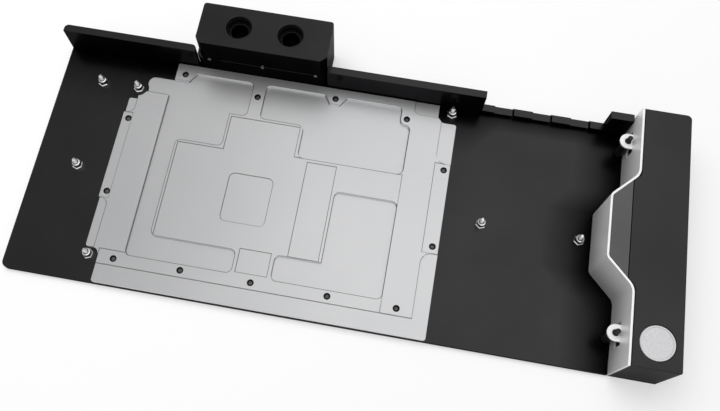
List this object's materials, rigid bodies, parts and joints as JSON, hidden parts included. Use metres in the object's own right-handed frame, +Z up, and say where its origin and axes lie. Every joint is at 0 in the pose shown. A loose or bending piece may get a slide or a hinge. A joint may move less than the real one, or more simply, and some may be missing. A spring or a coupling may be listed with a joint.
{
  "type": "gpu water block",
  "caption": "Liquid-cooled graphics-card backplate with a milled cold plate, a two-port coolant terminal, board standoffs and a deep end bar behind a bright bent strip.",
  "frame": {"origin": "centre of the footprint, on the outer face of the backplate that the part lies on", "axes": "+X along the card towards the end bar, +Y towards the coolant terminal, +Z up from the outer face towards the circuit board"},
  "size_m": [0.3286, 0.1506, 0.0331],
  "materials": {
    "black_aluminium": "black anodised, fine bead-blasted",
    "nickel_copper": "bright nickel plate over milled copper",
    "black_acetal": "machined acetal, satin",
    "seal_rubber": "smooth cord",
    "black_steel": "black finished steel",
    "bright_steel": "bright zinc-nickel plate",
    "end_bar_shell": "fine satin black",
    "inlay": "satin dark grey inlay, blank",
    "badge": "pale silver disc, blank",
    "polished_strip": "satin bright sheet metal, bent"
  },
  "bodies": {
    "root": {"backplate": "black_aluminium", "cold_plate": "nickel_copper", "flow_cover": "black_acetal", "cover_seal": "seal_rubber", "cover_screws": "black_steel", "terminal_bridge": "black_acetal", "terminal_seals": "seal_rubber", "bridge_seals": "seal_rubber", "terminal_block": "black_acetal", "terminal_front_screws": "bright_steel", "terminal_screws": "black_steel", "end_bar": "end_bar_shell", "end_bar_screws": "black_steel", "name_plate": "inlay", "badge_disc": "badge", "trim_strip": "polished_strip", "lug_post_1": "black_steel", "lug_post_2": "black_steel", "lug_stud_1": "black_steel", "lug_stud_2": "black_steel", "standoff_1": "bright_steel", "standoff_2": "bright_steel", "standoff_3": "bright_steel", "standoff_4": "bright_steel", "standoff_5": "bright_steel", "standoff_6": "bright_steel", "standoff_7": "bright_steel"}
  },
  "joints": []
}
